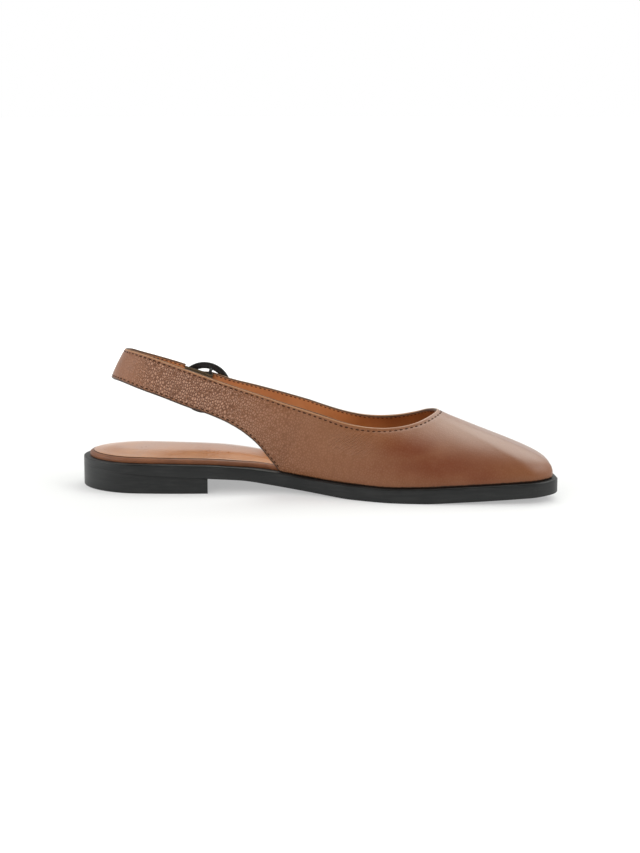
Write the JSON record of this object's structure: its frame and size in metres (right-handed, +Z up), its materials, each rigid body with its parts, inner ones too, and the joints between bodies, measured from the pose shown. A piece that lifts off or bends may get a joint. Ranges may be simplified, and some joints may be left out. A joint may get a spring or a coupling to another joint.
{
  "type": "slingback ballet flat",
  "caption": "Low leather slingback ballet flat with a soft square toe, open throat and heel, sling strap with a round buckle, tan insole and black rubber sole with a low heel.",
  "frame": {"origin": "on the floor, under the middle of the sole's outline", "axes": "+X towards the toe, +Y towards the outer side of the foot, +Z up"},
  "size_m": [0.256, 0.0836, 0.0754],
  "materials": {
    "upper_leather": "brown grained leather, burnished to a soft sheen on the vamp",
    "lining_leather": "smooth tan lining leather",
    "rubber": "satin black moulded rubber",
    "elastic_webbing": "olive brown woven elastic",
    "buckle_metal": "glossy black enamel"
  },
  "bodies": {
    "root": {"outsole": "rubber", "heel": "rubber", "footbed": "upper_leather", "sock_lining": "lining_leather", "upper": "upper_leather", "elastic": "elastic_webbing", "buckle_ring": "buckle_metal", "buckle_prong": "buckle_metal"}
  },
  "joints": []
}
